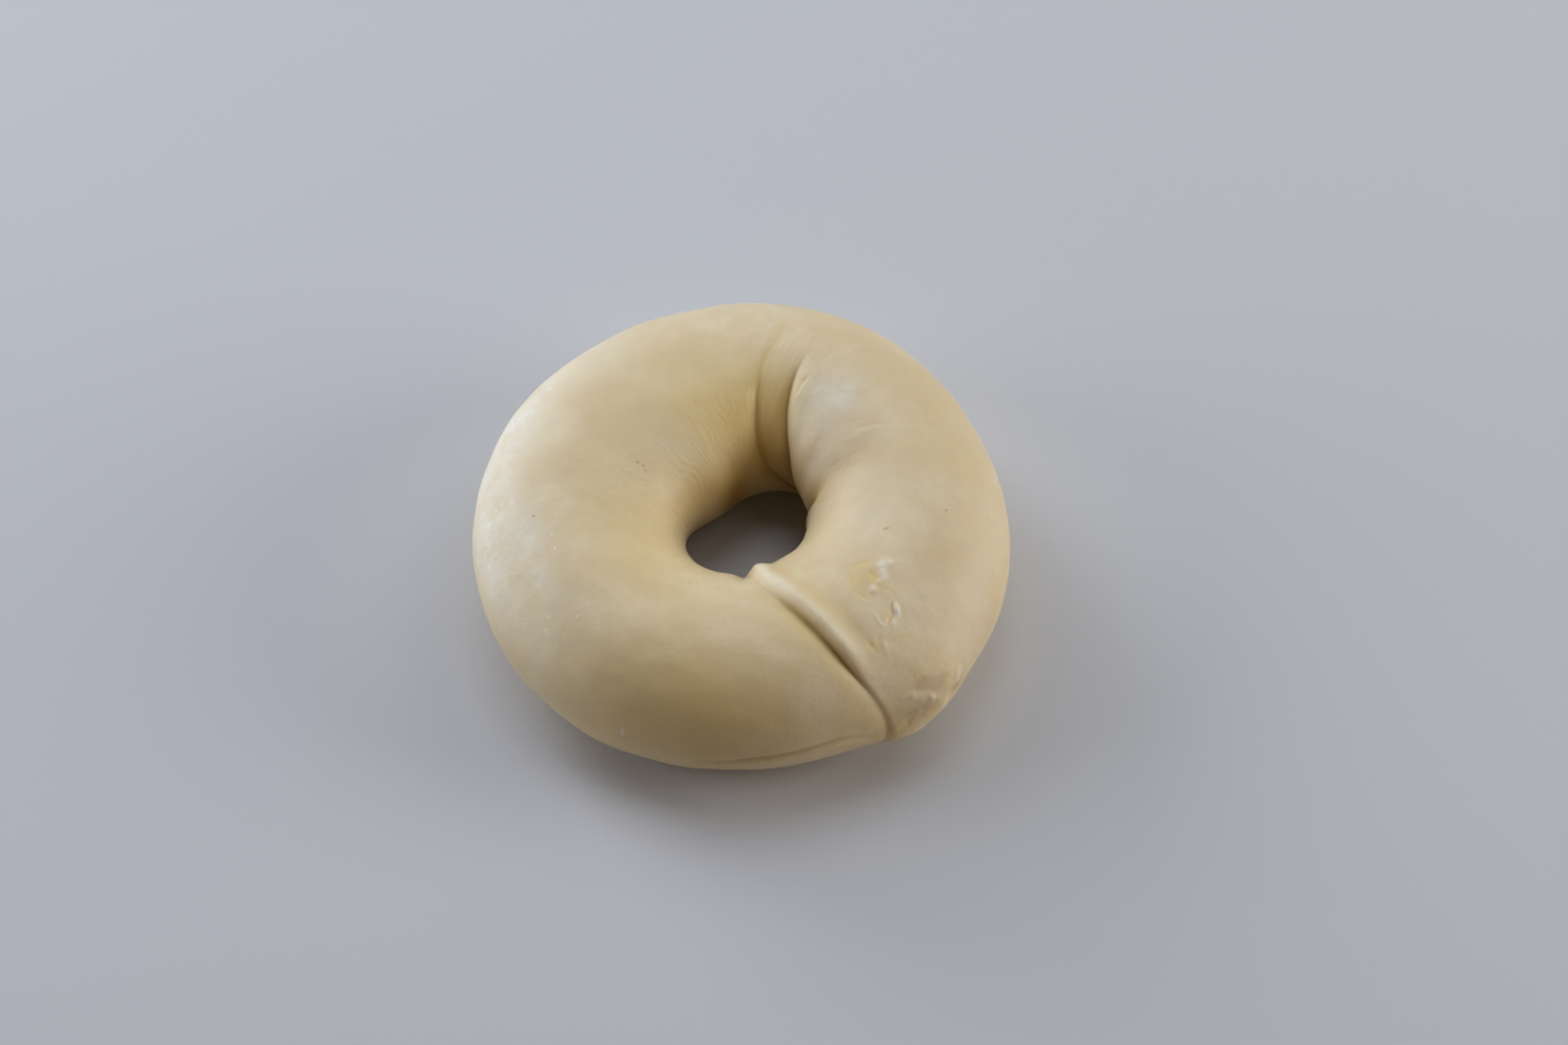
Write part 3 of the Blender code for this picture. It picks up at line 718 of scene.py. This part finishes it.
def follow_folds(azimuth, turn):
    """Shears the mesh's lines so that they run along the lap and along the tuck."""
    lap_middle, tuck_middle = lap_azimuth(MIDDLE_RADIUS), TUCK[0]
    radius = np.maximum(MIDDLE_RADIUS + ROLL_HALF_WIDTH * np.cos(np.radians(turn)), FOLLOW_LEAST_RADIUS)
    lap_swing = lap_azimuth(radius) - lap_middle
    tuck_swing = bowed(np.clip(turn, *FOLLOW_TURNS), TUCK) - tuck_middle
    tuck_swing = tuck_swing * smooth(*FOLLOW_FADES_IN, turn) * smooth(*FOLLOW_FADES_OUT, turn)
    between = tuck_middle - lap_middle
    near_lap = nearness(azimuth, lap_middle, 180.0 + lap_middle, between)
    near_tuck = nearness(azimuth, tuck_middle, between, 180.0 - tuck_middle)
    return azimuth + near_lap * lap_swing + near_tuck * tuck_swing


def ring_mesh(name, points, across_uv):
    """A mesh of quads over a grid that closes both ways, with a UV map cut open at its first lines."""
    along, around = points.shape[:2]
    i, j = np.meshgrid(np.arange(along), np.arange(around), indexing="ij")
    corners_i = np.stack([i, i + 1, i + 1, i], axis=-1).reshape(-1, 4)
    corners_j = np.stack([j, j, j + 1, j + 1], axis=-1).reshape(-1, 4)
    faces = (corners_i % along) * around + corners_j % around
    mesh = bpy.data.meshes.new(name)
    mesh.from_pydata(points.reshape(-1, 3).tolist(), [], faces.tolist())
    uv = np.stack([corners_i / along * across_uv[0], corners_j / around * across_uv[1]], axis=-1)
    mesh.uv_layers.new(name="skin").data.foreach_set("uv", uv.astype(np.float32).ravel())
    mesh.shade_smooth()
    return mesh


class Nodes:
    """Makes a material's nodes: each call makes one, sets its values and links its inputs."""

    def __init__(self, name):
        self.material = bpy.data.materials.new(name)
        self.material.use_nodes = True
        self.tree = self.material.node_tree
        self.shader = self.tree.nodes["Principled BSDF"]

    def put(self, socket, value):
        """Links another node's output to the socket, or sets a plain value on it."""
        if isinstance(value, bpy.types.NodeSocket):
            self.tree.links.new(value, socket)
        else:
            socket.default_value = value

    def make(self, kind, inputs=None, **settings):
        """A new node of this kind, with its settings and inputs."""
        made = self.tree.nodes.new(kind)
        for key, value in settings.items():
            setattr(made, key, value)
        for key, value in (inputs or {}).items():
            self.put(made.inputs[key], value)
        return made

    def math(self, operation, *values):
        """The operation's result for the values."""
        made = self.make("ShaderNodeMath", operation=operation)
        for socket, value in zip(made.inputs, values):
            self.put(socket, value)
        return made.outputs[0]

    def between(self, value, low, high, to_low=0.0, to_high=1.0):
        """A smooth step from low to high, sent to the other two values."""
        inputs = {"Value": value, "From Min": low, "From Max": high}
        inputs.update({"To Min": to_low, "To Max": to_high})
        made = self.make("ShaderNodeMapRange", inputs, interpolation_type="SMOOTHSTEP")
        return made.outputs["Result"]

    def noise(self, vector, scale, detail, roughness):
        """Soft noise from 0 to 1, with so many bumps to a metre."""
        inputs = {"Vector": vector, "Scale": scale, "Detail": detail, "Roughness": roughness}
        return self.make("ShaderNodeTexNoise", inputs).outputs["Fac"]

    def mix(self, share, first, second):
        """A colour that goes from the first to the second as the share goes from 0 to 1."""
        made = self.make("ShaderNodeMix", data_type="RGBA", blend_type="MIX")
        for place, value in ((0, share), (6, first), (7, second)):
            self.put(made.inputs[place], value)
        return made.outputs[2]

    def attribute(self, name):
        """An amount that the mesh holds for each of its points."""
        return self.make("ShaderNodeAttribute", attribute_name=name).outputs["Fac"]


def spots(nodes, place, colour, table, tint):
    """Elliptical spots: the place is moved, turned and scaled so that each one's edge is at 1."""
    for azimuth, turn, half_length, half_width, way, strength in table:
        centre = dough(np.array([azimuth]), np.array([turn]))[0] - RING_MIDDLE
        inputs = {
            "Vector": place,
            "Location": tuple(centre),
            "Rotation": (0.0, 0.0, np.radians(way)),
            "Scale": (half_length / 1000, half_width / 1000, SPECK_HALF_DEPTH),
        }
        spot = nodes.make("ShaderNodeMapping", inputs, vector_type="TEXTURE").outputs[0]
        away = nodes.make("ShaderNodeVectorMath", {0: spot}, operation="LENGTH").outputs["Value"]
        colour = nodes.mix(nodes.between(away, *SPECK_EDGE, 0.0, strength), colour, tint)
    return colour


def dough_material():
    """Raw dough: ochre where damp and as painted warm shade, darker as painted shade, pale where
    floured and as painted light, mottled and streaked, with specks on it.
    """
    nodes = Nodes("raw_dough")
    shader = nodes.shader
    place = nodes.make("ShaderNodeTexCoord").outputs["Object"]
    skin = nodes.make("ShaderNodeUVMap", uv_map="skin").outputs["UV"]
    drawn_out = {"Vector": skin, "Scale": STREAK_STRETCH}
    stretched = nodes.make("ShaderNodeMapping", drawn_out).outputs[0]

    clouds = nodes.noise(place, *CLOUDS)
    mottle = nodes.noise(place, *MOTTLE)
    grain = nodes.noise(place, *GRAIN)
    streaks = nodes.noise(stretched, *STREAKS)
    pebbles = nodes.noise(place, *PEBBLES)

    # The dough itself is cloudy and mottled, streaked where it is stretched, and finely grained
    colour = nodes.mix(nodes.between(clouds, 0.35, 0.65), DEEP_DOUGH, LIGHT_DOUGH)
    colour = nodes.mix(nodes.between(mottle, 0.32, 0.68, 0.0, 0.55), colour, MOTTLE_COLOUR)
    stretch = nodes.attribute("stretch")
    streaky = nodes.between(stretch, 0.0, 0.9, 0.06, 0.30)
    streaked = nodes.math("MULTIPLY", nodes.between(streaks, 0.48, 0.70), streaky)
    colour = nodes.mix(streaked, colour, STREAK_COLOUR)
    colour = nodes.mix(nodes.between(grain, 0.55, 0.80, 0.0, 0.20), colour, GRAIN_COLOUR)

    # Damp with painted warm shade, painted shade, flour with painted light, and smudge lie over it in
    # that order
    damp_and_warm_shade = nodes.attribute("damp_and_warm_shade")
    patchy = nodes.math("MULTIPLY", damp_and_warm_shade, nodes.between(clouds, 0.30, 0.70, 0.80, 1.10))
    colour = nodes.mix(patchy, colour, DAMP_AND_WARM_SHADE_COLOUR)
    colour = nodes.mix(nodes.attribute("painted_shade"), colour, PAINTED_SHADE_COLOUR)
    flour_and_painted_light = nodes.attribute("flour_and_painted_light")
    dusting_and_light = nodes.math("MULTIPLY", flour_and_painted_light, nodes.between(mottle, 0.30, 0.65, 0.45, 0.85))
    colour = nodes.mix(dusting_and_light, colour, FLOUR_AND_LIGHT_COLOUR)
    thick = nodes.between(flour_and_painted_light, 0.3, 0.95, 0.0, 0.36)
    caked = nodes.math("MULTIPLY", nodes.between(pebbles, 0.50, 0.66), thick)
    colour = nodes.mix(caked, colour, CAKED_FLOUR_COLOUR)
    smudgy = nodes.between(mottle, 0.30, 0.70, 0.50, 0.80)
    smudge = nodes.math("MULTIPLY", nodes.attribute("smudge"), smudgy)
    colour = nodes.mix(smudge, colour, SMUDGE_COLOUR)

    # Dry flour lies in specks up to half a millimetre across
    scattered = {"Vector": place, "Scale": FLOUR_SPECK_SCALE, "Randomness": 1.0}
    specks = nodes.make("ShaderNodeTexVoronoi", scattered)
    size = nodes.between(specks.outputs["Color"], 0.52, 0.90, 0.0, 0.30)
    speck = nodes.math("LESS_THAN", specks.outputs["Distance"], size)
    shown = nodes.math("MULTIPLY", speck, nodes.between(flour_and_painted_light, 0.25, 0.90, 0.0, 0.75))
    colour = nodes.mix(shown, colour, DRY_FLOUR_COLOUR)

    # A few specks of bran and crumbs of flour lie where the photo has them
    colour = spots(nodes, place, colour, BRAN_SPECKS, BRAN_COLOUR)
    colour = spots(nodes, place, colour, FLOUR_CRUMBS, CRUMB_COLOUR)

    nodes.put(shader.inputs["Base Color"], colour)
    rough = nodes.between(nodes.math("SUBTRACT", flour_and_painted_light, damp_and_warm_shade), -0.6, 0.8, ROUGH_DAMP, ROUGH_DRY)
    rough = nodes.math("ADD", rough, nodes.between(grain, 0.3, 0.7, -0.05, 0.05))
    nodes.put(shader.inputs["Roughness"], rough)
    shader.inputs["Specular IOR Level"].default_value = SPECULAR_LEVEL
    shader.inputs["Subsurface Weight"].default_value = UNDER_SKIN_WEIGHT
    shader.inputs["Subsurface Radius"].default_value = UNDER_SKIN_RADIUS
    shader.inputs["Subsurface Scale"].default_value = UNDER_SKIN_SCALE

    # The bump adds dimples, streaks where stretched, grain, pebbly flour and its specks
    height = nodes.math("MULTIPLY", nodes.noise(place, *DIMPLES), BUMP_DIMPLES)
    ridges = nodes.math("MULTIPLY", streaks, nodes.between(stretch, 0.0, 0.9, 0.06, 0.34))
    height = nodes.math("ADD", height, ridges)
    height = nodes.math("ADD", height, nodes.math("MULTIPLY", grain, BUMP_GRAIN))
    pebbly = nodes.math("MULTIPLY", pebbles, nodes.between(flour_and_painted_light, 0.1, 0.9, 0.05, 0.45))
    height = nodes.math("ADD", height, pebbly)
    height = nodes.math("ADD", height, nodes.math("MULTIPLY", shown, BUMP_SPECKS))
    inputs = {"Strength": 1.0, "Distance": BUMP_DISTANCE, "Height": height}
    bump = nodes.make("ShaderNodeBump", inputs)
    nodes.put(shader.inputs["Normal"], bump.outputs["Normal"])
    return nodes.material


def make_skin():
    """The dough's surface over a fine grid, with its looks as attributes, in place of the CAD ring."""
    azimuth = gathered(ALONG_COUNT, lap_azimuth(MIDDLE_RADIUS), GATHERS_ALONG)[:, None]
    turn = gathered(ROUND_COUNT, -90.0, GATHERS_ROUND)[None, :]
    azimuth, turn = np.broadcast_arrays(azimuth, turn % 360.0)
    azimuth = angle_gap(follow_folds(azimuth, turn), 0.0)
    points, looks = dress(azimuth, turn)
    mesh = ring_mesh("dough_skin", points - RING_MIDDLE, SKIN_UV_SIZE)
    for name, amount in looks.items():
        amount = np.clip(amount, 0.0, 1.0).astype(np.float32).ravel()
        mesh.attributes.new(name, "FLOAT", "POINT").data.foreach_set("value", amount)
    skin = bpy.data.objects.new("dough_skin", mesh)
    bpy.context.scene.collection.objects.link(skin)
    mesh.materials.append(dough_material())
    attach(skin, "root")
    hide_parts("dough_ring")


def make_floor():
    """One square at z = 0, for the bagel to stand on."""
    mesh = bpy.data.meshes.new("floor")
    corners = [(x * FLOOR_HALF, y * FLOOR_HALF, 0) for x, y in ((-1, -1), (1, -1), (1, 1), (-1, 1))]
    mesh.from_pydata(corners, [], [(0, 1, 2, 3)])
    floor = bpy.data.objects.new("floor", mesh)
    material = bpy.data.materials.new("floor_paint")
    material.use_nodes = True
    shader = material.node_tree.nodes["Principled BSDF"]
    shader.inputs["Base Color"].default_value = FLOOR_COLOUR
    shader.inputs["Roughness"].default_value = FLOOR_ROUGHNESS
    mesh.materials.append(material)
    bpy.context.scene.collection.objects.link(floor)


def soft_box(name, azimuth, elevation, power, colour):
    """A round soft light a metre from the middle, facing it."""
    data = bpy.data.lights.new(name, "AREA")
    data.shape = "DISK"
    data.size = SOFT_BOX_WIDTH
    data.energy = power
    data.color = colour
    a, e = np.radians(azimuth), np.radians(elevation)
    place = Vector((np.cos(a) * np.cos(e), np.sin(a) * np.cos(e), np.sin(e)))
    lamp = bpy.data.objects.new(name, data)
    lamp.location = place
    lamp.rotation_euler = (-place).to_track_quat("-Z", "Y").to_euler()
    bpy.context.scene.collection.objects.link(lamp)


def make_lights():
    """The soft lights, in a nearly dark room."""
    for light in SOFT_BOXES:
        soft_box(*light)
    world = bpy.data.worlds.new("dim_room")
    world.use_nodes = True
    background = world.node_tree.nodes["Background"]
    background.inputs["Color"].default_value = ROOM_COLOUR
    background.inputs["Strength"].default_value = ROOM_STRENGTH
    bpy.context.scene.world = world


def make_camera():
    """The photo's camera, in front and above, looking at the aim from its distance."""
    elevation = np.radians(CAMERA_ELEVATION)
    looking = np.array([0.0, np.cos(elevation), -np.sin(elevation)])
    data = bpy.data.cameras.new("camera")
    data.lens = CAMERA_LENS
    data.sensor_width = CAMERA_SENSOR
    camera = bpy.data.objects.new("camera", data)
    camera.location = Vector(CAMERA_AIM - looking * CAMERA_DISTANCE)
    camera.rotation_mode = "QUATERNION"
    camera.rotation_quaternion = Vector(looking).to_track_quat("-Z", "Y")
    bpy.context.scene.collection.objects.link(camera)
    bpy.context.scene.camera = camera


bpy.context.scene.view_settings.view_transform = "Standard"
make_skin()
make_floor()
make_lights()
make_camera()
